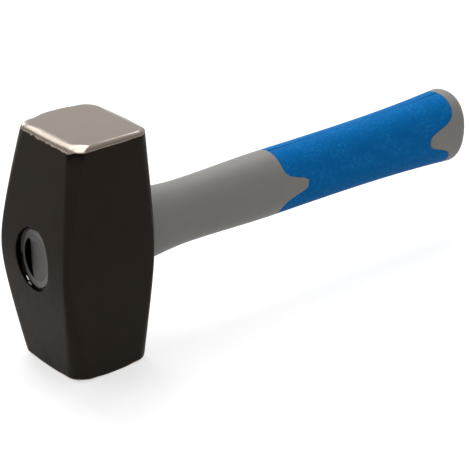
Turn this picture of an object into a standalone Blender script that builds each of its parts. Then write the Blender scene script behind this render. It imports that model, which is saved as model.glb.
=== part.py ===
"""Lump hammer with a moulded fibreglass handle, modelled as its separate pieces.

The hammer stands on its lower striking face. Metres, +Z up along the head, +X along the handle from the
head to the butt, Y across. The origin is the centre of the lower striking face.
"""

import math

import bmesh
import bpy

# Head: forged steel block with an oval eye through it along X
HEAD_LENGTH = 0.115            # from one striking face to the other
FACE_DEPTH = 0.0422            # striking end, along the handle
FACE_WIDTH = 0.0458            # striking end, across the handle
EYE_SIDE_BULGE = 0.0080        # how far the middle stands out past the ends, on the side of the open eye
HANDLE_SIDE_BULGE = 0.0010     # the same on the side where the handle leaves
CHEEK_BULGE = 0.0027           # the same on each cheek
RIDGE_ROUNDING = 0.0140        # half length over which the ridge round the middle is rounded
EYE_SIDE_CORNER_CUT = 0.0054   # corner chamfer at the striking ends, on the side of the open eye
HANDLE_SIDE_CORNER_CUT = 0.0049
MIDDLE_CORNER_CUT = 0.0016     # corner chamfer at the middle
CORNER_SWELL = 0.8             # below 1, the corners fill out faster from the ends towards the middle
FACE_EDGE_RADIUS = 0.0024      # rounding where a striking face meets the sides
CORNER_EDGE_RADIUS = 0.0010    # rounding along the corner chamfers

# Eye: two drafted mouths that meet at a narrower waist
EYE_WIDTH = 0.0246
EYE_HEIGHT = 0.0306
EYE_DRAFT = 0.0003             # how much the waist stands in from the mouths, on each side
EYE_CUTTER_OVERSHOOT = 0.0040  # how far the tool that cuts the eye runs past the head

# Resin that bonds the tenon into the eye
BOND_THICKNESS = 0.0007
BOND_RECESS = 0.0029           # from the crest of the eye side to the resin

# Handle jacket: tenon, shoulder, neck, recess for the grip, and butt
TENON_RECESS = 0.0025          # from the crest of the eye side to the end of the tenon
TENON_EDGE = 0.0003            # chamfer round the end of the tenon
SHOULDER_LEDGE = 0.0023        # how far the shoulder stands up past the eye that it closes
WAIST_HEIGHT = 0.0312
GRIP_HEIGHT = 0.0338
BUTT_HEIGHT = 0.0404
HANDLE_FLATNESS = 0.80         # width of the handle over its height
HANDLE_FULLNESS = 2.2          # exponent of its oval section, 2 for an ellipse
SHOULDER_TO_WAIST = 0.0336
WAIST_TO_GRIP = 0.0562
GRIP_LENGTH = 0.1235
BUTT_BAND = 0.0046             # plain band between the grip and the domed end
BUTT_DOME = 0.0066             # length of the domed end
BUTT_FLAT = 0.0074             # width of the flat left in the middle of the domed end

# Grip sleeve: fills the recess, with ends that step back for the tongues of the jacket on both flanks
GRIP_THICKNESS = 0.0022
FRONT_TONGUE_LENGTH = 0.0166
FRONT_TONGUE_HALF_WIDTH = 0.0051
REAR_TONGUE_LENGTH = 0.0189
REAR_TONGUE_HALF_WIDTH = 0.0066

# Fibreglass core: oval bar inside the jacket, with an end in the tenon that is dished and slants to one side
JACKET_SIDE_WALL = 0.0016      # least jacket left beside the core
JACKET_TOP_WALL = 0.0029       # least jacket left above and below the core
CORE_RECESS = 0.0036           # from the end of the tenon to the end of the core, where it is deepest
CORE_LIP = 0.0003              # the same where it is shallowest
CORE_BUTT_COVER = 0.0160       # jacket left between the core and the end of the butt
CORE_EDGE = 0.0004             # chamfer round its rear end

# Gap kept between pieces that touch
FIT_GAP = 0.0003

# Number of facets
HANDLE_SIDES = 72
OVAL_SIDES = 48
HEAD_LEVELS = 25
NECK_RINGS = 9
GRIP_RINGS = 10
BUTT_RINGS = 2
DOME_RINGS = 6
CORE_END_RINGS = 7
FACE_EDGE_FACETS = 4
CORNER_EDGE_FACETS = 2

# Angles that tell the edges apart
FACE_EDGE_ANGLE = math.radians(60)
CORNER_EDGE_ANGLE = math.radians(30)
SMOOTH_ANGLE = math.radians(35)

# Places along the handle's axis, worked out from the sizes
AXIS_HEIGHT = HEAD_LENGTH / 2
EYE_SIDE_CREST = -(FACE_DEPTH / 2 + EYE_SIDE_BULGE)
HANDLE_SIDE_CREST = FACE_DEPTH / 2 + HANDLE_SIDE_BULGE
EYE_MIDDLE = (EYE_SIDE_CREST + HANDLE_SIDE_CREST) / 2
TENON_END = EYE_SIDE_CREST + TENON_RECESS
BOND_FRONT = EYE_SIDE_CREST + BOND_RECESS
SHOULDER = HANDLE_SIDE_CREST + FIT_GAP
WAIST = SHOULDER + SHOULDER_TO_WAIST
GRIP_START = WAIST + WAIST_TO_GRIP
GRIP_END = GRIP_START + GRIP_LENGTH
BUTT_RIM = GRIP_END + BUTT_BAND
BUTT_END = BUTT_RIM + BUTT_DOME
CORE_REAR = BUTT_END - CORE_BUTT_COVER

# The shoulder covers the eye
SHOULDER_HEIGHT = EYE_HEIGHT + 2 * SHOULDER_LEDGE

# The tenon is the waist of the eye less the resin and the gaps on both of its faces
TENON_CLEARANCE = EYE_DRAFT + BOND_THICKNESS + 2 * FIT_GAP
TENON_HALF_WIDTH = EYE_WIDTH / 2 - TENON_CLEARANCE
TENON_HALF_HEIGHT = EYE_HEIGHT / 2 - TENON_CLEARANCE

# The recess of the grip is the handle less the grip, and the core fills the slimmest part of the jacket
RECESS_DEPTH = GRIP_THICKNESS + FIT_GAP
SLIM_HALF_WIDTH = min(TENON_HALF_WIDTH, WAIST_HEIGHT / 2 * HANDLE_FLATNESS,
                      GRIP_HEIGHT / 2 * HANDLE_FLATNESS - RECESS_DEPTH)
SLIM_HALF_HEIGHT = min(TENON_HALF_HEIGHT, WAIST_HEIGHT / 2, GRIP_HEIGHT / 2 - RECESS_DEPTH)
BORE_HALF_WIDTH = SLIM_HALF_WIDTH - JACKET_SIDE_WALL
BORE_HALF_HEIGHT = SLIM_HALF_HEIGHT - JACKET_TOP_WALL
CORE_HALF_WIDTH = BORE_HALF_WIDTH - FIT_GAP
CORE_HALF_HEIGHT = BORE_HALF_HEIGHT - FIT_GAP


# Scene and mesh helpers

def clear_scene():
    for old in list(bpy.data.objects):
        bpy.data.objects.remove(old, do_unlink=True)


def new_collection(name):
    collection = bpy.data.collections.new(name)
    bpy.context.scene.collection.children.link(collection)
    return collection


def plain_material(name, colour, roughness, metallic=0.0):
    material = bpy.data.materials.new(name)
    material.use_nodes = True
    shader = material.node_tree.nodes["Principled BSDF"]
    shader.inputs["Base Color"].default_value = (*colour, 1.0)
    shader.inputs["Roughness"].default_value = roughness
    shader.inputs["Metallic"].default_value = metallic
    return material


def new_object(name, mesh, root, collection, location):
    piece = bpy.data.objects.new(name, mesh)
    piece.location = location
    piece.parent = root
    collection.objects.link(piece)
    return piece


def add_part(mesh, material, root, collection, location=(0, 0, 0)):
    """An object that carries its mesh's name, shaded smooth except at its sharp edges."""
    mesh.materials.append(material)
    mesh.shade_smooth()
    mesh.set_sharp_from_angle(angle=SMOOTH_ANGLE)
    return new_object(mesh.name, mesh, root, collection, location)


def mesh_from(mesh_data, name):
    bmesh.ops.recalc_face_normals(mesh_data, faces=mesh_data.faces)
    mesh = bpy.data.meshes.new(name)
    mesh_data.to_mesh(mesh)
    mesh_data.free()
    return mesh


def loft(name, rings, closed_loop=False):
    """A closed mesh through rings of equally many points, capped at both ends or joined into a loop."""
    mesh_data = bmesh.new()
    vert_rings = [[mesh_data.verts.new(point) for point in ring] for ring in rings]
    pairs = list(zip(vert_rings, vert_rings[1:]))
    if closed_loop:
        pairs.append((vert_rings[-1], vert_rings[0]))
    else:
        mesh_data.faces.new(vert_rings[0])
        mesh_data.faces.new(vert_rings[-1])
    for low, high in pairs:
        for index in range(len(low)):
            after = (index + 1) % len(low)
            mesh_data.faces.new((low[index], low[after], high[after], high[index]))
    return mesh_from(mesh_data, name)


def bevel(part, name, width, segments, sharper_than):
    modifier = part.modifiers.new(name, "BEVEL")
    modifier.width = width
    modifier.segments = segments
    modifier.limit_method = "ANGLE"
    modifier.angle_limit = sharper_than


def signed_power(value, exponent):
    return math.copysign(abs(value) ** exponent, value)


def oval_point(half_width, half_height, angle, fullness=2.0):
    """A point (y, z) of an oval round the handle's axis, turning from the +Y flank towards +Z."""
    y = half_width * signed_power(math.cos(angle), 2 / fullness)
    z = half_height * signed_power(math.sin(angle), 2 / fullness)
    return y, z


def oval_ring(x, half_width, half_height, sides, fullness=2.0):
    """A flat oval ring across the handle's axis."""
    angles = [math.tau * index / sides for index in range(sides)]
    return [(x, *oval_point(half_width, half_height, angle, fullness)) for angle in angles]


# Head

def middle_share(height):
    """1 at the ridge round the middle of the head, 0 at its ends, with the ridge rounded over."""
    half = HEAD_LENGTH / 2
    rounding = RIDGE_ROUNDING / half
    offset = (height - half) / half
    fall = math.hypot(offset, rounding) - rounding
    return 1 - fall / (math.hypot(1, rounding) - rounding)


def head_section(height):
    """The eight-cornered section of the head at a height."""
    share = middle_share(height)
    eye_side = FACE_DEPTH / 2 + EYE_SIDE_BULGE * share
    handle_side = FACE_DEPTH / 2 + HANDLE_SIDE_BULGE * share
    cheek = FACE_WIDTH / 2 + CHEEK_BULGE * share
    swell = max(share, 0.0) ** CORNER_SWELL
    front_cut = EYE_SIDE_CORNER_CUT + (MIDDLE_CORNER_CUT - EYE_SIDE_CORNER_CUT) * swell
    rear_cut = HANDLE_SIDE_CORNER_CUT + (MIDDLE_CORNER_CUT - HANDLE_SIDE_CORNER_CUT) * swell
    outline = [
        (handle_side, -cheek + rear_cut), (handle_side, cheek - rear_cut),
        (handle_side - rear_cut, cheek), (-eye_side + front_cut, cheek),
        (-eye_side, cheek - front_cut), (-eye_side, -cheek + front_cut),
        (-eye_side + front_cut, -cheek), (handle_side - rear_cut, -cheek),
    ]
    return [(x, y, height) for x, y in outline]


def eye_ring(x, clearance=0.0):
    """The eye's wall at a place along it, or a ring that far inside: widest at the two mouths."""
    half_length = HANDLE_SIDE_CREST - EYE_MIDDLE
    inset = EYE_DRAFT * (1 - abs(x - EYE_MIDDLE) / half_length) + clearance
    return oval_ring(x, EYE_WIDTH / 2 - inset, EYE_HEIGHT / 2 - inset, OVAL_SIDES)


def build_head(root, parts, cutters):
    lacquer = plain_material("black_lacquer", (0.022, 0.019, 0.017), 0.38)
    levels = [HEAD_LENGTH * index / (HEAD_LEVELS - 1) for index in range(HEAD_LEVELS)]
    mesh = loft("head", [head_section(height) for height in levels])
    head = add_part(mesh, lacquer, root, parts)
    bevel(head, "round_face_edges", FACE_EDGE_RADIUS, FACE_EDGE_FACETS, FACE_EDGE_ANGLE)
    bevel(head, "round_corner_edges", CORNER_EDGE_RADIUS, CORNER_EDGE_FACETS, CORNER_EDGE_ANGLE)

    front = EYE_SIDE_CREST - EYE_CUTTER_OVERSHOOT
    rear = HANDLE_SIDE_CREST + EYE_CUTTER_OVERSHOOT
    cutter_mesh = loft("eye_cutter", [eye_ring(x) for x in (front, EYE_MIDDLE, rear)])
    eye_cutter = new_object("eye_cutter", cutter_mesh, root, cutters, (0, 0, AXIS_HEIGHT))
    eye_cutter.hide_render = True
    eye_cutter.display_type = "WIRE"
    eye = head.modifiers.new("eye", "BOOLEAN")
    eye.operation = "DIFFERENCE"
    eye.solver = "EXACT"
    eye.object = eye_cutter


def build_bond(root, parts):
    resin = plain_material("cured_resin", (0.060, 0.040, 0.026), 0.45)
    places = (BOND_FRONT, EYE_MIDDLE, HANDLE_SIDE_CREST)
    outer = [eye_ring(x, FIT_GAP) for x in places]
    half_width = TENON_HALF_WIDTH + FIT_GAP
    half_height = TENON_HALF_HEIGHT + FIT_GAP
    inner = [oval_ring(x, half_width, half_height, OVAL_SIDES) for x in reversed(places)]
    mesh = loft("epoxy_bond", outer + inner, closed_loop=True)
    add_part(mesh, resin, root, parts, (0, 0, AXIS_HEIGHT))


# Handle

def ease(share):
    """Smooth step from 0 to 1 with level ends."""
    return share * share * (3 - 2 * share)


def handle_half_height(x):
    """Half height of the handle: shoulder, waist, then a grip that swells towards the butt."""
    if x <= WAIST:
        share = ease((x - SHOULDER) / SHOULDER_TO_WAIST)
        return (SHOULDER_HEIGHT + (WAIST_HEIGHT - SHOULDER_HEIGHT) * share) / 2
    if x <= GRIP_START:
        share = ease((x - WAIST) / WAIST_TO_GRIP)
        return (WAIST_HEIGHT + (GRIP_HEIGHT - WAIST_HEIGHT) * share) / 2
    share = (x - GRIP_START) / (BUTT_RIM - GRIP_START)
    return (GRIP_HEIGHT + (BUTT_HEIGHT - GRIP_HEIGHT) * share ** 3) / 2


def handle_point(x, index, depth=0.0):
    """A point on one side of the handle's skin, or that deep under it."""
    half_height = handle_half_height(x)
    half_width = half_height * HANDLE_FLATNESS
    angle = math.tau * index / HANDLE_SIDES
    return x, *oval_point(half_width - depth, half_height - depth, angle, HANDLE_FULLNESS)


def skin_ring(places, depth=0.0):
    """A ring on the handle's skin that passes each side at its own place along the handle."""
    return [handle_point(x, index, depth) for index, x in enumerate(places)]


def tongue(height, length, half_width):
    """How far a tongue of the jacket reaches into the grip at a height above the handle's axis."""
    return length / (1 + (height / half_width) ** 4)


def grip_start(index):
    height = handle_point(GRIP_START, index)[2]
    return GRIP_START + tongue(height, FRONT_TONGUE_LENGTH, FRONT_TONGUE_HALF_WIDTH)


def grip_end(index):
    height = handle_point(GRIP_END, index)[2]
    return GRIP_END - tongue(height, REAR_TONGUE_LENGTH, REAR_TONGUE_HALF_WIDTH)


def rings_between(starts, ends, steps, depth=0.0):
    """Rings that change evenly from one wavy line round the handle to another."""
    rings = []
    for step in range(steps + 1):
        share = step / steps
        places = [start + (end - start) * share for start, end in zip(starts, ends)]
        rings.append(skin_ring(places, depth))
    return rings


# The wavy lines where the grip starts and ends, one place for each side of the handle
GRIP_STARTS = [grip_start(index) for index in range(HANDLE_SIDES)]
GRIP_ENDS = [grip_end(index) for index in range(HANDLE_SIDES)]


def dome_rings():
    """Rings that round the end of the butt over, down to its flat."""
    half_height = BUTT_HEIGHT / 2
    half_width = half_height * HANDLE_FLATNESS
    rings = []
    for step in range(1, DOME_RINGS + 1):
        turn = math.pi / 2 * step / DOME_RINGS
        inset = (half_width - BUTT_FLAT / 2) * (1 - math.cos(turn))
        x = BUTT_RIM + BUTT_DOME * math.sin(turn)
        rings.append(oval_ring(x, half_width - inset, half_height - inset, HANDLE_SIDES, HANDLE_FULLNESS))
    return rings


def build_jacket(root, parts):
    """One moulding, followed from the bottom of its bore, over the tenon and along its skin to the butt."""
    plastic = plain_material("grey_plastic", (0.155, 0.152, 0.140), 0.48)
    bore = (BORE_HALF_WIDTH, BORE_HALF_HEIGHT, HANDLE_SIDES)
    tenon = (TENON_HALF_WIDTH, TENON_HALF_HEIGHT, HANDLE_SIDES)
    tenon_tip = (TENON_HALF_WIDTH - TENON_EDGE, TENON_HALF_HEIGHT - TENON_EDGE, HANDLE_SIDES)
    rings = [
        oval_ring(CORE_REAR + FIT_GAP, *bore),
        oval_ring(TENON_END, *bore),
        oval_ring(TENON_END, *tenon_tip),
        oval_ring(TENON_END + TENON_EDGE, *tenon),
        oval_ring(SHOULDER, *tenon),
    ]
    rings += rings_between([SHOULDER] * HANDLE_SIDES, GRIP_STARTS, NECK_RINGS)
    rings += rings_between(GRIP_STARTS, GRIP_ENDS, GRIP_RINGS, RECESS_DEPTH)
    rings += rings_between(GRIP_ENDS, [BUTT_RIM] * HANDLE_SIDES, BUTT_RINGS)
    rings += dome_rings()
    add_part(loft("handle_jacket", rings), plastic, root, parts, (0, 0, AXIS_HEIGHT))


def build_grip(root, parts):
    rubber = plain_material("blue_rubber", (0.006, 0.100, 0.300), 0.60)
    starts = [start + FIT_GAP for start in GRIP_STARTS]
    ends = [end - FIT_GAP for end in GRIP_ENDS]
    outer = rings_between(starts, ends, GRIP_RINGS)
    inner = rings_between(ends, starts, GRIP_RINGS, GRIP_THICKNESS)
    mesh = loft("grip_sleeve", outer + inner, closed_loop=True)
    add_part(mesh, rubber, root, parts, (0, 0, AXIS_HEIGHT))


def core_end_ring(share):
    """A ring of the core's end at a share of its full size: a dish that slants down to the +Y flank."""
    ring = []
    for x, y, z in oval_ring(TENON_END, CORE_HALF_WIDTH * share, CORE_HALF_HEIGHT * share, OVAL_SIDES):
        dish = math.sqrt(max(0.0, 1 - (z / CORE_HALF_HEIGHT) ** 2))
        slant = (1 + y / CORE_HALF_WIDTH) / 2
        ring.append((x + CORE_LIP + (CORE_RECESS - CORE_LIP) * dish * slant, y, z))
    return ring


def build_core(root, parts):
    glass_fibre = plain_material("glass_fibre", (0.120, 0.116, 0.100), 0.55)
    rings = [
        oval_ring(CORE_REAR, CORE_HALF_WIDTH - CORE_EDGE, CORE_HALF_HEIGHT - CORE_EDGE, OVAL_SIDES),
        oval_ring(CORE_REAR - CORE_EDGE, CORE_HALF_WIDTH, CORE_HALF_HEIGHT, OVAL_SIDES),
    ]
    rings += [core_end_ring(1 - step / CORE_END_RINGS) for step in range(CORE_END_RINGS)]
    add_part(loft("fibreglass_core", rings), glass_fibre, root, parts, (0, 0, AXIS_HEIGHT))


def main():
    clear_scene()
    parts = new_collection("lump_hammer")
    cutters = new_collection("cutters")
    root = bpy.data.objects.new("hammer_root", None)
    parts.objects.link(root)
    build_head(root, parts, cutters)
    build_bond(root, parts)
    build_jacket(root, parts)
    build_grip(root, parts)
    build_core(root, parts)


main()
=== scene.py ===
"""Looks of the lump hammer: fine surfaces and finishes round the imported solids, on a studio floor.

Metres, in the frame of the solids: +Z up along the head, +X along the handle, Y across.
"""

import math

import bmesh
import bpy
import numpy as np
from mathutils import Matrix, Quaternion, Vector


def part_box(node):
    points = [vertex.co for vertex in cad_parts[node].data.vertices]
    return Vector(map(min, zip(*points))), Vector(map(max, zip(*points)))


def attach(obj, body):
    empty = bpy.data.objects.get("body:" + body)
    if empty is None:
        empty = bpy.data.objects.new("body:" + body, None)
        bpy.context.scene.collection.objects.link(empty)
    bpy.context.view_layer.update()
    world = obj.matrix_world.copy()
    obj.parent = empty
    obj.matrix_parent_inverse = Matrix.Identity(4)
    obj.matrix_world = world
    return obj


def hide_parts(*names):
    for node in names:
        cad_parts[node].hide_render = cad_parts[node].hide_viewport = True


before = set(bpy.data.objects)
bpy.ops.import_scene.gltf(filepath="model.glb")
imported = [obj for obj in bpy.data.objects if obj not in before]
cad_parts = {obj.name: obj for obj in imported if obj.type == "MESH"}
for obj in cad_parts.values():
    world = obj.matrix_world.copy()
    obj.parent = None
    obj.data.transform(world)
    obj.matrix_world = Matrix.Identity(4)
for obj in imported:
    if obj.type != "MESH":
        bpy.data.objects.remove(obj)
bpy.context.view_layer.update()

# Head, with its extents read from the frame
HEAD_LOW, HEAD_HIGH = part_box("head")
HEAD_LENGTH = HEAD_HIGH.z
HEAD_MIDDLE = (HEAD_LOW.x + HEAD_HIGH.x) / 2
AXIS_HEIGHT = HEAD_LENGTH / 2
SIDES = 8                      # four sides and the cut corners between them
FACE_DEPTH = 0.0422
FACE_WIDTH = 0.0458
EYE_SIDE_BULGE = -HEAD_LOW.x - FACE_DEPTH / 2
HANDLE_SIDE_BULGE = HEAD_HIGH.x - FACE_DEPTH / 2
CHEEK_BULGE = HEAD_HIGH.y - FACE_WIDTH / 2
RIDGE_ROUNDING = 0.0140
FACE_CROWN = 0.00005           # how much a striking face swells in its middle
FACE_RING_SHARES = (0.985, 0.8, 0.6, 0.4, 0.2, 0.02)    # rings across a striking face, as shares of its rim

# Cut corners: the cut at the ends of the head, the cut at its middle, and how it changes between them
EYE_SIDE_CORNER = (0.0055, 0.0016, 0.8)
HANDLE_SIDE_CORNER = (0.0050, 0.0019, 1.0)
UPPER_CORNER_RADII = (0.0090, 0.0090, 0.0090, 0.0090, 0.0024, 0.0010, 0.0070, 0.0070)
LOWER_CORNER_RADIUS = 0.0080
ARC_ROOM = 0.48                # the most of a side that the arc at its end may take
SIDE_FLATNESS = 5              # how closely a side keeps to its middle before it turns to its corners

# Ground edge of the upper striking face: how far it runs in, how far it runs down, and its fullness, which
# is 1 for a flat bevel, 2 for a round edge and more for a squarer one. The rows go round by +Y: the middle
# of a side, then the corner after it.
UPPER_EDGE = (
    (0.0026, 0.0007, 1.15),    # handle side
    (0.0022, 0.0009, 1.50),
    (0.0022, 0.0009, 1.50),    # rear far corner
    (0.0022, 0.0009, 1.50),
    (0.0006, 0.0002, 1.50),    # far cheek
    (0.0040, 0.0021, 1.90),
    (0.0040, 0.0021, 1.90),    # front far corner
    (0.0040, 0.0021, 1.90),
    (0.0072, 0.0029, 2.20),    # eye side
    (0.0048, 0.0027, 1.80),
    (0.0040, 0.0020, 1.10),    # front near corner
    (0.0018, 0.0019, 1.16),
    (0.0023, 0.0016, 1.50),    # near cheek
    (0.0026, 0.0012, 1.40),
    (0.0026, 0.0012, 1.40),    # rear near corner
    (0.0026, 0.0012, 1.40),
)
LOWER_SIDE_EDGE = 0.0012       # radii of the edge of the lower striking face
LOWER_CORNER_EDGE = 0.0022
LOWER_CUT_EDGE = 0.0026
LOWER_EDGE_FULLNESS = 2.0
NEAR_CORNER_SIDE = 5           # the cut corner whose ground edge is a clean facet
FACET_STRETCH = 2.1            # how much further that facet runs in at the near cheek than the cheek's edge

# Finish of the head, and the shade painted on it
FACING_SHARPNESS = 4           # how sharply the finish of one side fades towards the next
CORNER_BLEND = 0.0004          # width over which the finish of the near corner fades into its neighbours'
PAINT_MARGIN = 0.0004          # bare steel left on the walls below the ground edge
EYE_SIDE_PAINT_MARGIN = -0.0004    # on the eye side the lacquer runs up onto that edge
LOWER_PAINT_MARGIN = -0.0006   # and it runs on round the lower edge
LEAST_CHIPPING = 0.12          # how chipped the lacquer's edge is away from the eye side, next to there
CHIP_REACH = (-0.0011, 0.0009)     # how far chips move the lacquer's edge
LACQUER_FADE = 0.00006         # half the width over which lacquer gives way to steel
LACQUER_THICKNESS = 0.00006
DARK_BELOW_FACET_LENGTH = 0.0045            # how far the darker lacquer below the facet of the near corner reaches down
EYE_SIDE_SHADE_CLIMB = 0.8           # how much further the painted shade at a ground edge's foot climbs on the eye side
CHEEK_SHADE_CLIMB = 1.2              # and on the cheeks
SHADE_SHARES = (0.10, 0.70)    # shares of the ground edge between which the painted shade fades out
UNSHADED_WALL = (0.00002, 0.00012)    # depths below the ground edge between which the bare wall loses the painted shade
COARSE_REACH = 4               # how far the coarse finish of the eye side's roll reaches to its corners
COARSE_SHARE = 0.20            # share of that roll over which its finish turns coarse
COARSE_ROUGHNESS = 0.10
FACET_COARSENESS = 0.6         # how coarse the finish of the facet is, next to the roll's

# Eye
EYE_WIDTH = 0.0246
EYE_HEIGHT = 0.0306
EYE_DRAFT = 0.0003             # how much the eye narrows towards its middle
EYE_MOUTH_RADIUS = 0.0003
EYE_MOUTH_START = math.radians(20)     # where the rounding of the mouth starts, from the side of the head
EYE_OVERSHOOT = 0.0040         # how far the tool that cuts the eye stands out of the head
EYE_SHADE_END = 1.01            # the painted shade on the eye's wall ends here, measured in half widths of the eye

# Resin between the eye and the tenon
RESIN_DEPTH = 0.0001           # below the end of the tenon where the resin is full
SKIN_DRAFT = EYE_DRAFT / 4     # how much the eye has narrowed at the skin of the resin
RESIN_HOLLOW = 0.0005          # how much deeper the resin has sunk in the hollow on its lower far side
HOLLOW_TURN = math.radians(-75)
HOLLOW_HALF_SPAN = math.radians(70)
HOLLOW_EDGE = math.radians(10)
RESIN_RIPPLE = 0.00008
RIPPLES = 5                    # ripples in one turn round the tenon
RIPPLE_PHASE = 2.0
RESIN_CREEP = 0.0022           # how far its skin climbs the wall of the eye at one place in the hollow
CREEP_TURN = math.radians(-60)
CREEP_SHARPNESS = 12           # how narrow that place is
CREEP_CURVE = 3                # how late the skin turns up on its way to the wall
SHADE_TOP = 0.70                # shade is painted on the resin's top from this height above the axis, in half heights
SHADE_TOP_FADE = 0.2
# Painted glints in the hollow, as patches of bright metal: where each lies round the tenon and half its
# span, in degrees, and the shares of the way from the tenon to the wall between which it lies
PAINTED_GLINTS = ((-55, 7, 0.67, 0.77), (-68, 6, 0.80, 0.90))
GLINT_EDGE = (0.25, 0.45)      # strengths of a painted glint between which it turns to metal
GLINT_ROUGHNESS = 0.25

# Handle, with its ends read from the frame
JACKET_LOW, JACKET_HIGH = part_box("handle_jacket")
TENON_END = JACKET_LOW.x
SHOULDER_GAP = 0.0003
SHOULDER = HEAD_HIGH.x + SHOULDER_GAP
SHOULDER_TO_WAIST = 0.0336
WAIST = SHOULDER + SHOULDER_TO_WAIST
BUTT_END = JACKET_HIGH.x
BUTT_DOME = 0.0066
BUTT_BAND = 0.0046
BUTT_RIM = BUTT_END - BUTT_DOME
GRIP_LENGTH = 0.1235
GRIP_END = BUTT_RIM - BUTT_BAND
GRIP_START = GRIP_END - GRIP_LENGTH
SHOULDER_HEIGHT = 0.0352
WAIST_HEIGHT = 0.0312
GRIP_HEIGHT = 0.0338
BUTT_HEIGHT = 0.0404
BUTT_SWELL = 3                 # how late the grip swells to the height of the butt
BUTT_FLAT = 0.0074             # width of the flat at the end of the butt
HANDLE_FLATNESS = 0.80         # width of the handle next to its height
HANDLE_FULLNESS = 2.2          # of its section, where 2 is an ellipse
TENON_HALF_WIDTH = 0.0107
TENON_HALF_HEIGHT = 0.0142
BORE_HALF_WIDTH = 0.0091
BORE_HALF_HEIGHT = 0.0108
BORE_END = 0.2312
CORE_END = 0.2309
SLANT_DEPTH = 0.0036           # slanted end of the core at its deepest, below the end of the tenon
SLANT_MIDDLE = -0.0012         # height above the axis where it is deepest
SLANT_HALF_HEIGHT = 0.0092
SLANT_LEAST = 0.00012
SHADE_MOST = 0.80               # painted shade on the end of the tenon, on its far side
SHADE_LEAST = 0.34              # and on its near side
SHADE_SPREAD = 0.019            # width over which it changes from the one to the other
SHADE_LENGTH = 0.0012           # how far it reaches down the wall of the tenon
SHADE_RIM = 0.0008              # width of the full painted shade along the top of the tenon's rim
SHEENLESS_SHADE = (0.85, 1.0)        # shares of painted shade between which the sheen of the jacket is lost
GRIP_THICKNESS = 0.0022
RECESS_DEPTH = 0.0025
JOINT = 0.00006                # hairline between two pieces
MOULDED_EDGE = 0.0003          # rounding of the moulded edges
SHOULDER_EDGE = 0.0008
FRONT_TONGUE = (0.0166, 0.0051)    # length and half width of the jacket's tongues in the grip
REAR_TONGUE = (0.0189, 0.0066)
TONGUE_BLUNTNESS = 4
SEAM_DEPTH = 0.00030           # parting line along the top and bottom of the grip
SEAM_HALF_WIDTH = 0.00040
SEAM_LEAST = 0.20              # share of that depth in the middle of the grip
SEAM_CURVE = 3                 # how late the line deepens towards the ends of the grip
RUBBED_PATCHES = (0.30, 0.65)  # noise between which the grip turns pale, in broad patches and in specks
RUBBED_SPECKS = (0.42, 0.74)

# Numbers of facets
FACE_STEPS = 26
CHAMFER_STEPS = 5
ARC_STEPS = 5
EDGE_STEPS = 10
BODY_STEPS = 60
EYE_SIDES = 160
MOUTH_STEPS = 5
SKIN_STEPS = 16
SLANT_STEPS = 12
HANDLE_SIDES = 320
ANGLE_CROWDING = 0.35          # how much closer the sides of the handle lie at its parting lines
NECK_STEPS = 40
GRIP_STEPS = 70
HIDDEN_GRIP_STEPS = 17
BAND_STEPS = 6
DOME_STEPS = 14
ROUND_STEPS = 4
SHARP_ANGLE = math.radians(38)     # edges that turn more than this stay sharp

# Colours, in linear red, green and blue; where there are two, noise mixes them
LACQUER = ((0.0162, 0.0114, 0.0079), (0.0224, 0.0161, 0.0113))
# painted shade on the wall of the eye; also the darker lacquer below the near corner's facet
DARKENED_LACQUER = (0.0012, 0.0009, 0.0007)
GROUND_STEEL = ((0.254, 0.212, 0.177), (0.276, 0.232, 0.194))
COARSE_STEEL = (0.208, 0.178, 0.154)
# painted shade on the steel at the foot of a ground edge
SHADED_STEEL = (0.145, 0.118, 0.098)
GREY_PLASTIC = ((0.177, 0.171, 0.156), (0.198, 0.191, 0.176))
# painted shade in the bore and on the tenon's end
SHADE_BLACK = (0.0010, 0.0009, 0.0007)
BLUE_RUBBER = ((0.0002, 0.103, 0.320), (0.0006, 0.119, 0.355))
RUBBED_RUBBER = (0.009, 0.178, 0.448)
# painted shade in the grip's parting line
SEAM_SHADE_BLUE = (0.001, 0.020, 0.070)
FULL_RESIN = ((0.066, 0.060, 0.053), (0.082, 0.075, 0.066))
# painted shade on the resin: in its hollow and under the top of the eye
SHADED_RESIN = (0.003, 0.002, 0.001)
# painted glints: bright metal put on the resin in its hollow
GLINT_METAL = (0.86, 0.83, 0.80)
GLASS_FIBRE = ((0.064, 0.061, 0.056), (0.079, 0.075, 0.069))

# Roughness, which noise varies between two values
LACQUER_ROUGHNESS = (0.34, 0.44)
STEEL_ROUGHNESS = (0.16, 0.23)
PLASTIC_ROUGHNESS = (0.44, 0.56)
RUBBER_ROUGHNESS = (0.52, 0.68)
RESIN_ROUGHNESS = (0.06, 0.12)
FIBRE_ROUGHNESS = (0.50, 0.65)
NOISE_RANGE = (0.3, 0.7)       # most of a noise lies between these

# Sockets of a Mix node: the share, the two numbers, the two colours, and what comes out
MIX_SHARE = 0
MIX_NUMBERS = (2, 3)
MIX_COLOURS = (6, 7)
MIXED_NUMBER = 0
MIXED_COLOUR = 2

# Camera of the photograph
CAMERA_PLACE = Vector((-0.39928, -0.54429, 0.37873))
CAMERA_AIM = Vector((0.02544, -0.07405, 0.08127))
CAMERA_ROLL = math.radians(1.624)
CAMERA_LENS = 125.23
CAMERA_SENSOR = 36.0
CAMERA_CLIP = (0.01, 50.0)

# Floor and light
FLOOR_RADIUS = 6.0
FLOOR_SIDES = 96
FLOOR_DROP = 0.0002            # how far the floor lies below the lower striking face
FLOOR_GREY = 0.48
FLOOR_LIFT = 0.58              # makes the floor white where it is seen, without lighting the hammer
WORLD_LIGHT = 0.74
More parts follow.
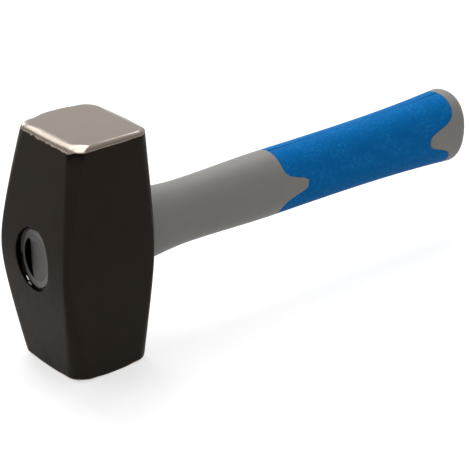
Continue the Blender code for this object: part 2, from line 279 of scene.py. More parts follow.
# Softboxes: name, place, aim, size, and brightness next to a white surface
SOFTBOXES = (
    ("ceiling_softbox", (0.27, 0.95, 1.32), (0.27, 0.95, 0.0), (0.78, 1.6), 4.8),
    ("far_softbox", (0.44, 1.61, 0.49), (0.0, 0.0, 0.1), (0.3, 0.6), 4.8),
    ("rear_softbox", (0.80, 0.62, 0.92), (0.06, 0.0, 0.06), (0.26, 0.26), 3.2),
    ("left_softbox", (-1.05, 0.85, 0.52), (0.0, 0.0, 0.06), (0.8, 0.8), 2.0),
)


# Helpers for meshes and pieces

def ease(share):
    """A share from 0 to 1 that starts and ends gently."""
    return share * share * (3 - 2 * share)


def mesh_through_rings(name, rings, closed_loop=False):
    """A mesh through rings of equally many points, capped at both ends or joined into a loop."""
    count = len(rings[0])
    points = [tuple(point) for ring in rings for point in ring]
    faces = []
    pairs = [(index, index + 1) for index in range(len(rings) - 1)]
    if closed_loop:
        pairs.append((len(rings) - 1, 0))
    else:
        faces.append(tuple(range(count)))
        faces.append(tuple((len(rings) - 1) * count + index for index in range(count)))
    for low_ring, high_ring in pairs:
        low = low_ring * count
        high = high_ring * count
        for index in range(count):
            after = (index + 1) % count
            faces.append((low + index, low + after, high + after, high + index))
    mesh = bpy.data.meshes.new(name)
    mesh.from_pydata(points, [], faces)
    mesh_data = bmesh.new()
    mesh_data.from_mesh(mesh)
    bmesh.ops.recalc_face_normals(mesh_data, faces=mesh_data.faces)
    mesh_data.to_mesh(mesh)
    mesh_data.free()
    return mesh


def mark_points(mesh, name, values):
    """Stores a value for each point of a mesh, from arrays that are joined end to end."""
    mesh.attributes.new(name, "FLOAT", "POINT").data.foreach_set("value", np.concatenate(values))


def add_object(name, data):
    added = bpy.data.objects.new(name, data)
    bpy.context.scene.collection.objects.link(added)
    return added


def add_piece(name, mesh, node, material):
    """A visible piece that stands for a solid of the frame."""
    mesh.shade_smooth()
    mesh.set_sharp_from_angle(angle=SHARP_ANGLE)
    mesh.materials.clear()
    mesh.materials.append(material)
    piece = add_object(name, mesh)
    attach(piece, "root")
    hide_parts(node)


# Head

SIDE_TURNS = np.arange(SIDES) * math.tau / SIDES
SIDE_NORMALS = np.stack([np.cos(SIDE_TURNS), np.sin(SIDE_TURNS)], axis=1)
HALF_ANGLE = math.pi / SIDES


def middle_share(heights):
    """1 at the ridge round the middle of the head, 0 at its ends, with the ridge rounded over."""
    half = HEAD_LENGTH / 2
    rounding = RIDGE_ROUNDING / half
    offset = (np.asarray(heights) - half) / half
    fall = np.hypot(offset, rounding) - rounding
    return 1 - fall / (math.hypot(1, rounding) - rounding)


def corner_cut(height, end_cut, middle_cut, swell):
    """How much a cut corner takes off the sides at a height."""
    return end_cut + (middle_cut - end_cut) * max(middle_share(height), 0.0) ** swell


def section(height):
    """How far each of the eight sides lies from the head's axis at a height."""
    share = middle_share(height)
    eye_side = FACE_DEPTH / 2 + EYE_SIDE_BULGE * share
    handle_side = FACE_DEPTH / 2 + HANDLE_SIDE_BULGE * share
    cheek = FACE_WIDTH / 2 + CHEEK_BULGE * share
    rear_corner = (handle_side - corner_cut(height, *HANDLE_SIDE_CORNER) + cheek) / math.sqrt(2)
    front_corner = (eye_side - corner_cut(height, *EYE_SIDE_CORNER) + cheek) / math.sqrt(2)
    front = (front_corner, eye_side, front_corner)
    return np.array([handle_side, rear_corner, cheek, *front, cheek, rear_corner])


def eye_side_place(heights):
    """X of the side with the open eye."""
    return -(FACE_DEPTH / 2 + EYE_SIDE_BULGE * middle_share(heights))


def rounded_corners(insets, heights):
    """Centres and radii of the arcs at the eight corners of a ring."""
    corners = []
    radii = []
    for corner in range(SIDES):
        after = (corner + 1) % SIDES
        row = 2 * corner + 1
        distances = section(heights[row]) - insets[row]
        if corner == NEAR_CORNER_SIDE:
            distances[corner] -= insets[row] * (FACET_STRETCH - 1)
        pair = np.stack([SIDE_NORMALS[corner], SIDE_NORMALS[after]])
        corners.append(np.linalg.solve(pair, distances[[corner, after]]))
        upper_share = heights[row] / HEAD_LENGTH
        radius = LOWER_CORNER_RADIUS + (UPPER_CORNER_RADII[corner] - LOWER_CORNER_RADIUS) * upper_share
        radii.append(radius * corner_cut(heights[row], *EYE_SIDE_CORNER) / EYE_SIDE_CORNER[0])
    centres = []
    for corner in range(SIDES):
        after = (corner + 1) % SIDES
        before_length = np.linalg.norm(corners[corner] - corners[corner - 1])
        after_length = np.linalg.norm(corners[after] - corners[corner])
        room = ARC_ROOM * min(before_length, after_length) / math.tan(HALF_ANGLE)
        radii[corner] = min(radii[corner], room)
        inward = (SIDE_NORMALS[corner] + SIDE_NORMALS[after]) / (1 + math.cos(2 * HALF_ANGLE))
        centres.append(corners[corner] - radii[corner] * inward)
    return centres, radii


def head_ring(insets, heights):
    """A ring round the head, from the insets and heights of its sides' middles and corners by turns."""
    centres, radii = rounded_corners(insets, heights)
    points = []
    for side in range(SIDES):
        normal = SIDE_NORMALS[side]
        start = centres[side - 1] + radii[side - 1] * normal
        end = centres[side] + radii[side] * normal
        middle = section(heights[2 * side])[side] - insets[2 * side]
        steps = CHAMFER_STEPS if side % 2 else FACE_STEPS
        for step in range(steps):
            share = step / steps
            end_share = abs(math.cos(math.pi * share)) ** SIDE_FLATNESS
            nearer, row = (start, 2 * side - 1) if share < 0.5 else (end, 2 * side + 1)
            along = start + (end - start) * share
            distance = middle + (normal @ nearer - middle) * end_share
            x, y = along + normal * (distance - normal @ along)
            points.append((x, y, heights[2 * side] + (heights[row] - heights[2 * side]) * end_share))
        for step in range(ARC_STEPS):
            turn = SIDE_TURNS[side] + 2 * HALF_ANGLE * step / ARC_STEPS
            x, y = centres[side] + radii[side] * np.array([math.cos(turn), math.sin(turn)])
            points.append((x, y, heights[2 * side + 1]))
    return np.array(points)


def edge_profile(edge, share):
    """Insets and drops of a ground edge, from the wall at share 0 to the striking face at share 1."""
    reach, depth, fullness = edge.T
    turn = math.pi / 2 * share
    insets = reach * (1 - math.cos(turn) ** (2 / fullness))
    drops = depth * (1 - math.sin(turn) ** (2 / fullness))
    return insets, drops


def lower_edge():
    """The edge of the lower striking face, in the rows of the upper one."""
    pattern = (LOWER_SIDE_EDGE, LOWER_CORNER_EDGE, LOWER_CUT_EDGE, LOWER_CORNER_EDGE)
    return np.array([(radius, radius, LOWER_EDGE_FULLNESS) for radius in pattern * (SIDES // 2)])


def face_rings(rim, height, outward):
    """Rings across a slightly crowned striking face, from its rim to its middle."""
    rings = []
    for share in FACE_RING_SHARES:
        ring = rim * share
        ring[:, 2] = height - outward * FACE_CROWN * share ** 2
        rings.append(ring)
    return rings


def eye_cutter_mesh():
    """The eye's wall as a closed tool, with a rounded mouth that follows the bulged side of the head."""
    turns = np.arange(EYE_SIDES) * math.tau / EYE_SIDES

    def ring(outset, depth=None, place=None):
        y = (EYE_WIDTH / 2 + outset) * np.cos(turns)
        z = AXIS_HEIGHT + (EYE_HEIGHT / 2 + outset) * np.sin(turns)
        x = np.full(EYE_SIDES, place) if depth is None else eye_side_place(z) + depth
        return np.stack([x, y, z], axis=1)

    rings = []
    flare = EYE_OVERSHOOT * math.cos(EYE_MOUTH_START)
    rise = EYE_OVERSHOOT * math.sin(EYE_MOUTH_START)
    for step in range(MOUTH_STEPS + 1):
        turn = EYE_MOUTH_START + (math.pi / 2 - EYE_MOUTH_START) * step / MOUTH_STEPS
        outset = EYE_MOUTH_RADIUS * (1 - math.sin(turn))
        depth = EYE_MOUTH_RADIUS * (1 - math.cos(turn))
        if step == 0:
            rings.append(ring(outset + flare, depth=depth - rise))
        rings.append(ring(outset, depth=depth))
    rings.append(ring(-EYE_DRAFT, place=HEAD_MIDDLE))
    rings.append(ring(EYE_DRAFT, place=HEAD_HIGH.x + EYE_OVERSHOOT))
    return mesh_through_rings("eye_cutter", rings)


def mark_finish(mesh, upper_ring, lower_ring):
    """Stores at each point how it lies to the lacquer's edge, the ground edges, a corner and the eye."""
    places = np.empty(len(mesh.vertices) * 3)
    mesh.vertices.foreach_get("co", places)
    x, y, z = places.reshape(-1, 3).T
    turns = np.arctan2(y, x)

    def line(ring):
        return np.interp(turns, np.arctan2(ring[:, 1], ring[:, 0]), ring[:, 2], period=math.tau)

    upper_line = line(upper_ring)
    lower_line = line(lower_ring)
    facing_eye_side = np.clip(-np.cos(turns), 0, 1) ** FACING_SHARPNESS
    facing_cheek = np.sin(turns) ** FACING_SHARPNESS
    margin = PAINT_MARGIN + (EYE_SIDE_PAINT_MARGIN - PAINT_MARGIN) * facing_eye_side
    past_upper = z - upper_line + margin
    past_lower = lower_line + LOWER_PAINT_MARGIN - z
    sides = SIDE_NORMALS @ np.stack([x, y]) - section(HEAD_LENGTH)[:, None]
    other_sides = np.delete(sides, NEAR_CORNER_SIDE, axis=0).max(axis=0)
    on_near_corner = np.clip(0.5 + (sides[NEAR_CORNER_SIDE] - other_sides) / CORNER_BLEND, 0, 1)
    up_edge = (z - upper_line) / (HEAD_LENGTH - FACE_CROWN - upper_line)
    down_edge = (lower_line - z) / (lower_line - FACE_CROWN)
    # this curve also sets how far the painted shade at a ground edge's foot climbs
    shade_climb = 1 + EYE_SIDE_SHADE_CLIMB * facing_eye_side + CHEEK_SHADE_CLIMB * facing_cheek
    ground_share = np.clip(np.maximum(up_edge, down_edge), 0, 1) ** shade_climb
    ground_share = np.maximum(ground_share, on_near_corner)
    on_roll = np.clip(COARSE_REACH * facing_eye_side, 0, 1)
    coarse = on_roll * np.clip((1 - ground_share) / COARSE_SHARE, 0, 1)
    from_axis = np.hypot(y / (EYE_WIDTH / 2), (z - AXIS_HEIGHT) / (EYE_HEIGHT / 2))
    marks = {
        "past_paint_edge": np.maximum(past_upper, past_lower),
        "below_ground_edge": upper_line - z,
        "ground_share": ground_share,
        "coarse": np.maximum(coarse, FACET_COARSENESS * on_near_corner),
        "chipping": LEAST_CHIPPING + (1 - LEAST_CHIPPING) * facing_eye_side,
        # darker lacquer below the facet of the near corner
        "dark_below_facet": on_near_corner * np.clip(1 - (upper_line - z) / DARK_BELOW_FACET_LENGTH, 0, 1),
        # painted shade on the wall of the eye, reaching just over its mouth
        "eye_shade": np.clip((EYE_SHADE_END - from_axis) / (EYE_SHADE_END - 1), 0, 1),
    }
    for name, values in marks.items():
        mark_points(mesh, name, [values])


def build_head(material):
    """The forged head: rings from one striking face to the other, with the eye cut through them."""
    upper = np.array(UPPER_EDGE)
    lower = lower_edge()
    top = HEAD_LENGTH - FACE_CROWN
    bottom = FACE_CROWN
    wall_low = bottom + lower[:, 1]
    wall_high = top - upper[:, 1]

    rings = []
    for step in range(EDGE_STEPS + 1):
        insets, drops = edge_profile(lower, 1 - step / EDGE_STEPS)
        rings.append(head_ring(insets, bottom + drops))
    lower_ring = rings[-1]
    for step in range(1, BODY_STEPS):
        rings.append(head_ring(np.zeros(2 * SIDES), wall_low + (wall_high - wall_low) * step / BODY_STEPS))
    for step in range(EDGE_STEPS + 1):
        insets, drops = edge_profile(upper, step / EDGE_STEPS)
        rings.append(head_ring(insets, top - drops))
    upper_ring = rings[-EDGE_STEPS - 1]
    lower_face = face_rings(rings[0], 0.0, -1)
    upper_face = face_rings(rings[-1], HEAD_LENGTH, 1)
    rings = list(reversed(lower_face)) + rings + upper_face

    block = add_object("head_block", mesh_through_rings("head_block", rings))
    cutter = add_object("eye_cutter", eye_cutter_mesh())
    cut = block.modifiers.new("eye", "BOOLEAN")
    cut.operation = "DIFFERENCE"
    cut.solver = "EXACT"
    cut.object = cutter
    evaluated = block.evaluated_get(bpy.context.evaluated_depsgraph_get())
    mesh = bpy.data.meshes.new_from_object(evaluated)
    mesh.name = "forged_head"
    bpy.data.objects.remove(block)
    bpy.data.objects.remove(cutter)
    mark_finish(mesh, upper_ring, lower_ring)
    add_piece("forged_head", mesh, "head", material)


# Resin

def build_resin(material):
    """The resin round the tenon, sunk into a hollow where its skin creeps up the wall of the eye."""
    turns = np.arange(EYE_SIDES) * math.tau / EYE_SIDES - math.pi
    hollow = ease(np.clip((HOLLOW_HALF_SPAN - np.abs(turns - HOLLOW_TURN)) / HOLLOW_EDGE + 0.5, 0, 1))
    creep = RESIN_CREEP * (0.5 + 0.5 * np.cos(turns - CREEP_TURN)) ** CREEP_SHARPNESS
    ripple = RESIN_RIPPLE * np.sin(RIPPLES * turns + RIPPLE_PHASE)
    level = TENON_END + RESIN_DEPTH + RESIN_HOLLOW * hollow + ripple
    # painted shadow on the resin's top, under the upper edge of the eye's mouth
    shade_under_top = np.clip((np.sin(turns) - SHADE_TOP) / SHADE_TOP_FADE, 0, 1)
    inner = (TENON_HALF_WIDTH + JOINT, TENON_HALF_HEIGHT + JOINT)
    outer = (EYE_WIDTH / 2 - SKIN_DRAFT - JOINT, EYE_HEIGHT / 2 - SKIN_DRAFT - JOINT)
    waist = (EYE_WIDTH / 2 - EYE_DRAFT - JOINT, EYE_HEIGHT / 2 - EYE_DRAFT - JOINT)

    def ring(places, half_width, half_height):
        y = half_width * np.cos(turns)
        z = AXIS_HEIGHT + half_height * np.sin(turns)
        return np.stack([np.broadcast_to(places, EYE_SIDES), y, z], axis=1)

    # painted glints: where the resin's skin is marked to turn to bright metal
    def glint(share):
        shine = np.zeros(EYE_SIDES)
        for turn, half_span, start, end in PAINTED_GLINTS:
            along = (np.degrees(turns) - turn) / half_span
            shine = np.maximum(shine, np.clip(1 - along ** 2, 0, 1) * (start < share < end))
        return shine

    no_glint = np.zeros(EYE_SIDES)
    rings = [ring(HEAD_HIGH.x, *inner)]
    # painted shade on the resin, carried with its rings
    resin_shade = [hollow]
    glints = [no_glint]
    for step in range(SKIN_STEPS + 1):
        share = step / SKIN_STEPS
        half_width = inner[0] + (outer[0] - inner[0]) * share
        half_height = inner[1] + (outer[1] - inner[1]) * share
        rings.append(ring(level - creep * share ** CREEP_CURVE, half_width, half_height))
        resin_shade.append(np.maximum(hollow, shade_under_top))
        glints.append(glint(share))
    rings += [ring(HEAD_MIDDLE, *waist), ring(HEAD_HIGH.x, *outer)]
    resin_shade += [hollow, hollow]
    glints += [no_glint, no_glint]
    mesh = mesh_through_rings("resin_skin", rings, closed_loop=True)
    mark_points(mesh, "resin_shade", resin_shade)
    mark_points(mesh, "glint", glints)
    add_piece("resin_skin", mesh, "epoxy_bond", material)


# Handle

def handle_angles():
    """Angles round the handle, closer together at the parting lines on top and underneath."""
    even = np.arange(HANDLE_SIDES) * math.tau / HANDLE_SIDES
    return even + ANGLE_CROWDING * np.sin(2 * even)


ANGLES = handle_angles()


def signed_power(values, exponent):
    return np.copysign(np.abs(values) ** exponent, values)


def oval(half_width, half_height, fullness):
    """Y and Z round an oval whose fullness is 2 for an ellipse and more for a squarer one."""
    y = half_width * signed_power(np.cos(ANGLES), 2 / fullness)
    z = half_height * signed_power(np.sin(ANGLES), 2 / fullness)
    return y, z


def oval_ring(x, half_width, half_height, fullness=2.0):
    y, z = oval(half_width, half_height, fullness)
    return np.stack([np.full(HANDLE_SIDES, x), y, AXIS_HEIGHT + z], axis=1)


def handle_half_height(places):
    """Half height of the handle: shoulder, waist, then a grip that swells towards the butt."""
    neck = ease(np.clip((places - SHOULDER) / (WAIST - SHOULDER), 0, 1))
    waist = ease(np.clip((places - WAIST) / (GRIP_START - WAIST), 0, 1))
    swell = np.clip((places - GRIP_START) / (BUTT_RIM - GRIP_START), 0, 1) ** BUTT_SWELL
    height = SHOULDER_HEIGHT + (WAIST_HEIGHT - SHOULDER_HEIGHT) * neck
    height = height + (GRIP_HEIGHT - WAIST_HEIGHT) * waist + (BUTT_HEIGHT - GRIP_HEIGHT) * swell
    return height / 2


def skin_ring(places, depth):
    """A ring at a depth under the handle's skin that passes each angle at its own place."""
    half_height = handle_half_height(places)
    y, z = oval(half_height * HANDLE_FLATNESS - depth, half_height - depth, HANDLE_FULLNESS)
    return np.stack([places, y, AXIS_HEIGHT + z], axis=1)


def tongue(heights, length, half_width):
    """How far a tongue of the jacket reaches into the grip at a height above the axis."""
    return length / (1 + (heights / half_width) ** TONGUE_BLUNTNESS)


def grip_limits():
    """Where the grip starts and ends at each angle round the handle."""
    def heights(place):
        return skin_ring(np.full(HANDLE_SIDES, place), 0.0)[:, 2] - AXIS_HEIGHT

    starts = GRIP_START + tongue(heights(GRIP_START), *FRONT_TONGUE)
    ends = GRIP_END - tongue(heights(GRIP_END), *REAR_TONGUE)
    return starts, ends


GRIP_STARTS, GRIP_ENDS = grip_limits()


def round_over(places, outward, radius=MOULDED_EDGE):
    """Rings that round an edge over, from the skin into the joint; outward is 1 towards the butt, or -1."""
    rings = []
    for step in range(ROUND_STEPS + 1):
        turn = math.pi / 2 * step / ROUND_STEPS
        shift = radius * (1 - math.sin(turn))
        depth = radius * (1 - math.cos(turn))
        rings.append(skin_ring(places - outward * shift, depth))
    return rings


def rings_between(starts, ends, steps, depth=0.0):
    """Rings that change evenly from one wavy line round the handle to another, without the two lines."""
    shares = [step / steps for step in range(1, steps)]
    return [skin_ring(starts + (ends - starts) * share, depth) for share in shares]


def dome_rings():
    """Rings over the domed end of the butt, from its rim to its flat."""
    half_height = BUTT_HEIGHT / 2
    half_width = half_height * HANDLE_FLATNESS
    rings = []
    for step in range(1, DOME_STEPS + 1):
        turn = math.pi / 2 * step / DOME_STEPS
        inset = (half_width - BUTT_FLAT / 2) * (1 - math.cos(turn))
        x = BUTT_RIM + BUTT_DOME * math.sin(turn)
        rings.append(oval_ring(x, half_width - inset, half_height - inset, HANDLE_FULLNESS))
    return rings


def rounded_rim(x, half_width, half_height, radius, outward):
    """Rings over the rim of an oval end, from face to wall; outward is 1 for an outer wall, or -1."""
    rings = []
    for step in range(ROUND_STEPS + 1):
        turn = math.pi / 2 * step / ROUND_STEPS
        inset = outward * radius * (1 - math.sin(turn))
        rings.append(oval_ring(x + radius * (1 - math.cos(turn)), half_width - inset, half_height - inset))
    return rings


def painted_shade(ring, in_bore=False):
    """How much painted shade covers a ring of the jacket: all of the bore, and part of the tenon's end."""
    inside = ring[:, 0] - TENON_END
    far_share = ease(np.clip(ring[:, 1] / SHADE_SPREAD + 0.5, 0, 1))
    on_end = (SHADE_LEAST + (SHADE_MOST - SHADE_LEAST) * far_share) * (inside < SHADE_LENGTH)
    if in_bore:
        return np.maximum(on_end, np.clip(inside / MOULDED_EDGE, 0, 1))
    from_top = AXIS_HEIGHT + TENON_HALF_HEIGHT - ring[:, 2]
    return np.maximum(on_end, (from_top < SHADE_RIM) * (inside < SHADE_LENGTH))


def build_jacket(material):
    """The moulded handle: its bore, tenon, shoulder and neck, the recess under the grip, and the butt."""
    shoulder = np.full(HANDLE_SIDES, SHOULDER)
    rim = np.full(HANDLE_SIDES, BUTT_RIM)
    bore = [oval_ring(BORE_END, BORE_HALF_WIDTH, BORE_HALF_HEIGHT)]
    bore += reversed(rounded_rim(TENON_END, BORE_HALF_WIDTH, BORE_HALF_HEIGHT, MOULDED_EDGE, -1))
    rings = [oval_ring(TENON_END, TENON_HALF_WIDTH - SHADE_RIM, TENON_HALF_HEIGHT - SHADE_RIM)]
    rings += rounded_rim(TENON_END, TENON_HALF_WIDTH, TENON_HALF_HEIGHT, MOULDED_EDGE, 1)
    rings.append(oval_ring(SHOULDER, TENON_HALF_WIDTH, TENON_HALF_HEIGHT))
    rings += reversed(round_over(shoulder, -1, SHOULDER_EDGE))
    rings += rings_between(shoulder + SHOULDER_EDGE, GRIP_STARTS - MOULDED_EDGE, NECK_STEPS)
    rings += round_over(GRIP_STARTS, 1)
    rings.append(skin_ring(GRIP_STARTS, RECESS_DEPTH))
    rings += rings_between(GRIP_STARTS, GRIP_ENDS, HIDDEN_GRIP_STEPS, RECESS_DEPTH)
    rings.append(skin_ring(GRIP_ENDS, RECESS_DEPTH))
    rings += reversed(round_over(GRIP_ENDS, -1))
    rings += rings_between(GRIP_ENDS + MOULDED_EDGE, rim, BAND_STEPS)
    rings.append(skin_ring(rim, 0.0))
    rings += dome_rings()
    mesh = mesh_through_rings("moulded_jacket", bore + rings)
    # painted shade: the bore dark all over, the tenon's end in part
    ring_shades = [painted_shade(ring, True) for ring in bore] + [painted_shade(ring) for ring in rings]
    mark_points(mesh, "painted_shade", ring_shades)
    add_piece("moulded_jacket", mesh, "handle_jacket", material)


def build_core(material):
    """The glass fibre core, with an end inside the tenon that slants down to its far side."""
    half_width = BORE_HALF_WIDTH - JOINT
    half_height = BORE_HALF_HEIGHT - JOINT
    rings = [oval_ring(CORE_END, half_width, half_height)]
    for step in range(SLANT_STEPS):
        share = 1 - step / SLANT_STEPS
        ring = oval_ring(0.0, half_width * share, half_height * share)
        height = (ring[:, 2] - AXIS_HEIGHT - SLANT_MIDDLE) / SLANT_HALF_HEIGHT
        dish = np.sqrt(np.clip(1 - height ** 2, 0, 1))
        slant = (ring[:, 1] + half_width) / (2 * half_width)
        ring[:, 0] = TENON_END + np.maximum(SLANT_DEPTH * dish * slant, SLANT_LEAST)
        rings.append(ring)
    mesh = mesh_through_rings("slanted_core", rings)
    add_piece("slanted_core", mesh, "fibreglass_core", material)


def seam_share(ring):
    """How deep the parting line is at each point of a ring: deeper towards the ends of the grip."""
    along = np.abs((ring[:, 0] - GRIP_START) / (GRIP_END - GRIP_START) * 2 - 1)
    depth = SEAM_LEAST + (1 - SEAM_LEAST) * np.clip(along, 0, 1) ** SEAM_CURVE
    return depth * np.exp(-(ring[:, 1] / SEAM_HALF_WIDTH) ** 2)


def add_seam(ring):
    """Presses the parting line into a ring of the grip."""
    pressed = ring.copy()
    pressed[:, 2] -= np.sign(ring[:, 2] - AXIS_HEIGHT) * SEAM_DEPTH * seam_share(ring)
    return pressed


def build_grip(material):
    """The soft sleeve in the recess of the jacket, with a parting line on top and underneath."""
    starts = GRIP_STARTS + JOINT
    ends = GRIP_ENDS - JOINT
    outer = list(reversed(round_over(starts, -1)))
    outer += rings_between(starts + MOULDED_EDGE, ends - MOULDED_EDGE, GRIP_STEPS)
    outer += round_over(ends, 1)
    inner = [skin_ring(ends, GRIP_THICKNESS)]
    inner += rings_between(ends, starts, HIDDEN_GRIP_STEPS, GRIP_THICKNESS)
    inner.append(skin_ring(starts, GRIP_THICKNESS))
    mesh = mesh_through_rings("rubber_grip", [add_seam(ring) for ring in outer] + inner, closed_loop=True)
    # painted shade in the parting line, as deep as the line
    seam_shades = [seam_share(ring) for ring in outer] + [np.zeros(HANDLE_SIDES)] * len(inner)
    mark_points(mesh, "seam_shade", seam_shades)
    add_piece("rubber_grip", mesh, "grip_sleeve", material)


# Helpers for materials

def new_material(name, specular=0.5):
    """A material with its node tree and its shader, whose specular level is set."""
    material = bpy.data.materials.new(name)
    material.use_nodes = True
    shader = material.node_tree.nodes["Principled BSDF"]
    shader.inputs["Specular IOR Level"].default_value = specular
    return material, material.node_tree, shader


def add_node(tree, kind, inputs=None, **settings):
    """A node with its settings made, and its inputs set or linked."""
    node = tree.nodes.new(kind)
    for name, value in settings.items():
        setattr(node, name, value)
    for name, value in (inputs or {}).items():
        if isinstance(value, bpy.types.NodeSocket):
            tree.links.new(value, node.inputs[name])
        else:
            node.inputs[name].default_value = value
    return node


def surface_point(tree, stretch):
    """The point on the piece in metres, stretched so that a pattern drawn with it is squeezed."""
    place = add_node(tree, "ShaderNodeTexCoord")
    mapping = add_node(tree, "ShaderNodeMapping", {"Vector": place.outputs["Object"], "Scale": stretch})
    return mapping.outputs["Vector"]


def noise(tree, size, detail=2.0, stretch=(1, 1, 1), roughness=0.5):
    """Grey noise from 0 to 1 whose marks are about that size, in metres."""
    inputs = {
        "Vector": surface_point(tree, stretch),
        "Scale": 1 / size,
        "Detail": detail,
        "Roughness": roughness,
    }
    return add_node(tree, "ShaderNodeTexNoise", inputs).outputs["Fac"]


def math_node(tree, operation, first, second):
    return add_node(tree, "ShaderNodeMath", {0: first, 1: second}, operation=operation).outputs[0]


def spread(tree, value, low, high, to_low=0.0, to_high=1.0):
    """Maps a value from one range to another, held at the ends."""
    inputs = {"Value": value, "From Min": low, "From Max": high, "To Min": to_low, "To Max": to_high}
    return add_node(tree, "ShaderNodeMapRange", inputs).outputs["Result"]


def vary(tree, pattern, low, high):
    """Maps a noise to values from low to high."""
    return spread(tree, pattern, *NOISE_RANGE, low, high)


def mix_number(tree, share, first, second):
    inputs = {MIX_SHARE: share, MIX_NUMBERS[0]: first, MIX_NUMBERS[1]: second}
    return add_node(tree, "ShaderNodeMix", inputs).outputs[MIXED_NUMBER]


def mix_colour(tree, share, first, second):
    """A mix of two colours, each a socket or its red, green and blue."""
    inputs = {MIX_SHARE: share}
    for place, colour in zip(MIX_COLOURS, (first, second)):
        inputs[place] = colour if isinstance(colour, bpy.types.NodeSocket) else (*colour, 1.0)
    return add_node(tree, "ShaderNodeMix", inputs, data_type="RGBA").outputs[MIXED_COLOUR]


def bump(tree, height, depth, normal=None):
    """A normal tilted by a pattern that stands up by that depth, in metres."""
    inputs = {"Height": height, "Distance": depth}
    if normal is not None:
        inputs["Normal"] = normal
    return add_node(tree, "ShaderNodeBump", inputs).outputs["Normal"]


def attribute(tree, name):
    return add_node(tree, "ShaderNodeAttribute", attribute_name=name).outputs["Fac"]


def link_shader(tree, shader, **sockets):
    names = {"colour": "Base Color", "roughness": "Roughness", "metallic": "Metallic", "normal": "Normal"}
    for name, socket in sockets.items():
        tree.links.new(socket, shader.inputs[names[name]])


# Materials

def head_material():
    """Satin black lacquer that stops short of ground steel ends, with a chipped edge. Shade is painted on
    the eye's wall and on the steel at the foot of the ground edges, and the lacquer is darker below the
    near corner's facet.
    """
    material, tree, shader = new_material("lacquer_and_ground_steel", specular=0.04)
    chips = vary(tree, noise(tree, size=0.0017, detail=6.0, roughness=0.74), *CHIP_REACH)
    chips = math_node(tree, "MULTIPLY", chips, attribute(tree, "chipping"))
    past_edge = math_node(tree, "ADD", attribute(tree, "past_paint_edge"), chips)
    bare = spread(tree, past_edge, -LACQUER_FADE, LACQUER_FADE)

    lacquer = mix_colour(tree, noise(tree, size=0.012, detail=3.0), *LACQUER)
    # painted shade on the eye's wall, and the darker lacquer below the near corner's facet
    darkened = math_node(tree, "MAXIMUM", attribute(tree, "eye_shade"), attribute(tree, "dark_below_facet"))
    lacquer = mix_colour(tree, darkened, lacquer, DARKENED_LACQUER)
    lacquer_roughness = vary(tree, noise(tree, size=0.004, detail=4.0), *LACQUER_ROUGHNESS)

    coarse = attribute(tree, "coarse")
    steel = mix_colour(tree, noise(tree, size=0.009, detail=2.0), *GROUND_STEEL)
    steel = mix_colour(tree, coarse, steel, COARSE_STEEL)
    # painted shade on the steel at the foot of each ground edge
    past_shade = spread(tree, attribute(tree, "ground_share"), *SHADE_SHARES)
    on_wall = spread(tree, attribute(tree, "below_ground_edge"), *UNSHADED_WALL)
    unshaded = math_node(tree, "MAXIMUM", past_shade, on_wall)
    steel = mix_colour(tree, unshaded, SHADED_STEEL, steel)
    scratches = noise(tree, size=0.0004, detail=3.0, stretch=(0.12, 1, 1))
    coarse_roughness = math_node(tree, "MULTIPLY", coarse, COARSE_ROUGHNESS)
    steel_roughness = math_node(tree, "ADD", vary(tree, scratches, *STEEL_ROUGHNESS), coarse_roughness)

    colour = mix_colour(tree, bare, lacquer, steel)
    roughness = mix_number(tree, bare, lacquer_roughness, steel_roughness)
    peel = bump(tree, noise(tree, size=0.0014, detail=2.0), depth=0.00002)
    ground = bump(tree, scratches, depth=0.000006, normal=peel)
    step_down = bump(tree, bare, depth=-LACQUER_THICKNESS, normal=ground)
    link_shader(tree, shader, colour=colour, metallic=bare, roughness=roughness, normal=step_down)
    return material


def plastic_material():
    """Satin moulded plastic with a faint flow pattern along the handle, and shade painted in the bore and
    on the tenon's end.
    """
    material, tree, shader = new_material("grey_moulded_plastic", specular=0.3)
    # painted shade in the bore and on the tenon's end
    shade_share = attribute(tree, "painted_shade")
    flow = noise(tree, size=0.006, detail=3.0, stretch=(0.25, 1, 1))
    colour = mix_colour(tree, shade_share, mix_colour(tree, flow, *GREY_PLASTIC), SHADE_BLACK)
    sheenless = spread(tree, shade_share, *SHEENLESS_SHADE)    # full painted shade is made a metal of its near-black colour, so it shows no sheen
    roughness = vary(tree, noise(tree, size=0.0012, detail=3.0), *PLASTIC_ROUGHNESS)
    grain = bump(tree, noise(tree, size=0.00035, detail=2.0), depth=0.000012)
    link_shader(tree, shader, colour=colour, metallic=sheenless, roughness=roughness, normal=grain)
    return material


def rubber_material():
    """Matte blue rubber, finely grained, paler where it has been rubbed, with shade painted into its
    parting line.
    """
    material, tree, shader = new_material("blue_moulded_rubber", specular=0.03)
    patches = spread(tree, noise(tree, size=0.007, detail=4.0, stretch=(0.5, 1, 1)), *RUBBED_PATCHES)
    specks = spread(tree, noise(tree, size=0.0014, detail=3.0), *RUBBED_SPECKS)
    rubbed = math_node(tree, "MULTIPLY", patches, specks)
    colour = mix_colour(tree, noise(tree, size=0.010, detail=2.0), *BLUE_RUBBER)
    colour = mix_colour(tree, rubbed, colour, RUBBED_RUBBER)
    # painted shade in the parting line
    colour = mix_colour(tree, attribute(tree, "seam_shade"), colour, SEAM_SHADE_BLUE)
    roughness = vary(tree, noise(tree, size=0.0009, detail=3.0), *RUBBER_ROUGHNESS)
    grain = bump(tree, noise(tree, size=0.0005, detail=3.0), depth=0.00003)
    link_shader(tree, shader, colour=colour, roughness=roughness, normal=grain)
    return material


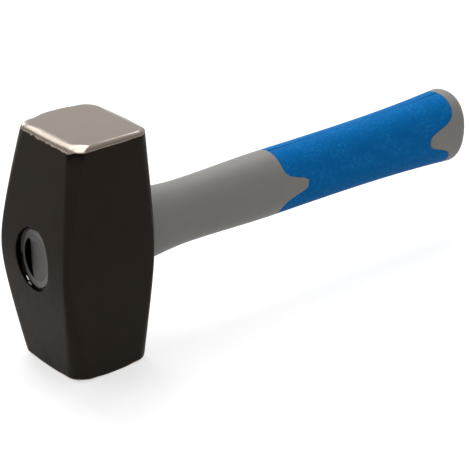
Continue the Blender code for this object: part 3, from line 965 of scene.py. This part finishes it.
def resin_material():
    """Dark glossy resin with a rippled skin; shade is painted in its hollow and under the top of the eye,
    and glints are painted in the hollow as patches of bright metal.
    """
    material, tree, shader = new_material("cured_resin", specular=0.05)
    colour = mix_colour(tree, noise(tree, size=0.003, detail=3.0), *FULL_RESIN)
    # painted shade in the hollow and under the top of the eye
    colour = mix_colour(tree, attribute(tree, "resin_shade"), colour, SHADED_RESIN)
    # painted glints as bright metal
    glint_share = spread(tree, attribute(tree, "glint"), *GLINT_EDGE)
    colour = mix_colour(tree, glint_share, colour, GLINT_METAL)
    glint_roughness = math_node(tree, "MULTIPLY", glint_share, GLINT_ROUGHNESS)
    skin_roughness = vary(tree, noise(tree, size=0.002), *RESIN_ROUGHNESS)
    roughness = math_node(tree, "ADD", skin_roughness, glint_roughness)
    skin = bump(tree, noise(tree, size=0.0015, detail=2.0), depth=0.00005)
    link_shader(tree, shader, colour=colour, metallic=glint_share, roughness=roughness, normal=skin)
    return material


def fibre_material():
    """Sealed end of a glass fibre bar: fine strands lengthwise, dots where they are cut."""
    material, tree, shader = new_material("sealed_glass_fibre", specular=0.3)
    strands = noise(tree, size=0.0004, detail=3.0, stretch=(0.05, 1, 1))
    colour = mix_colour(tree, strands, *GLASS_FIBRE)
    roughness = vary(tree, strands, *FIBRE_ROUGHNESS)
    sawn = bump(tree, noise(tree, size=0.0006, detail=3.0), depth=0.00003)
    link_shader(tree, shader, colour=colour, roughness=roughness, normal=sawn)
    return material


# Stage

def seen_directly(tree):
    """1 for rays from the camera, and for those mirrored or let through by the object."""
    path = add_node(tree, "ShaderNodeLightPath")
    seen = math_node(tree, "MAXIMUM", path.outputs["Is Camera Ray"], path.outputs["Is Glossy Ray"])
    return math_node(tree, "MAXIMUM", seen, path.outputs["Is Transmission Ray"])


def build_floor():
    """A wide pale disc that takes the hammer's shadow."""
    mesh = bpy.data.meshes.new("studio_floor")
    mesh_data = bmesh.new()
    bmesh.ops.create_circle(mesh_data, cap_ends=True, segments=FLOOR_SIDES, radius=FLOOR_RADIUS)
    mesh_data.to_mesh(mesh)
    mesh_data.free()
    floor = add_object("studio_floor", mesh)
    floor.location.z = -FLOOR_DROP
    material, tree, shader = new_material("pale_floor")
    tree.nodes.remove(shader)
    matte = add_node(tree, "ShaderNodeBsdfDiffuse", {"Color": (FLOOR_GREY, FLOOR_GREY, FLOOR_GREY, 1.0)})
    lift = math_node(tree, "MULTIPLY", seen_directly(tree), FLOOR_LIFT)
    glow = add_node(tree, "ShaderNodeEmission", {"Color": (1, 1, 1, 1), "Strength": lift})
    both = add_node(tree, "ShaderNodeAddShader", {0: matte.outputs[0], 1: glow.outputs[0]})
    tree.links.new(both.outputs[0], tree.nodes["Material Output"].inputs["Surface"])
    mesh.materials.append(material)


def build_world():
    """Even white light that is brighter where it is seen than where it lights the hammer."""
    world = bpy.data.worlds.new("studio")
    bpy.context.scene.world = world
    world.use_nodes = True
    tree = world.node_tree
    background = tree.nodes["Background"]
    background.inputs["Color"].default_value = (1, 1, 1, 1)
    strength = mix_number(tree, seen_directly(tree), WORLD_LIGHT, 1.0)
    tree.links.new(strength, background.inputs["Strength"])


def add_softbox(name, place, aim, size, radiance):
    """A rectangular lamp at a place, turned to an aim, as bright as a white surface times radiance."""
    lamp = bpy.data.lights.new(name, "AREA")
    lamp.shape = "RECTANGLE"
    lamp.size, lamp.size_y = size
    lamp.energy = math.pi * size[0] * size[1] * radiance
    softbox = add_object(name, lamp)
    softbox.location = place
    softbox.rotation_euler = (Vector(aim) - Vector(place)).to_track_quat("-Z", "Y").to_euler()


def build_camera():
    """A camera that sees the hammer as the photograph does."""
    data = bpy.data.cameras.new("camera")
    data.lens = CAMERA_LENS
    data.sensor_width = CAMERA_SENSOR
    data.clip_start, data.clip_end = CAMERA_CLIP
    camera = add_object("camera", data)
    aim = (CAMERA_AIM - CAMERA_PLACE).to_track_quat("-Z", "Y")
    camera.rotation_mode = "QUATERNION"
    camera.rotation_quaternion = aim @ Quaternion((0, 0, 1), CAMERA_ROLL)
    camera.location = CAMERA_PLACE
    bpy.context.scene.camera = camera


build_head(head_material())
build_resin(resin_material())
build_jacket(plastic_material())
build_core(fibre_material())
build_grip(rubber_material())
build_floor()
build_world()
for softbox_values in SOFTBOXES:
    add_softbox(*softbox_values)
build_camera()
bpy.context.scene.view_settings.view_transform = "Standard"
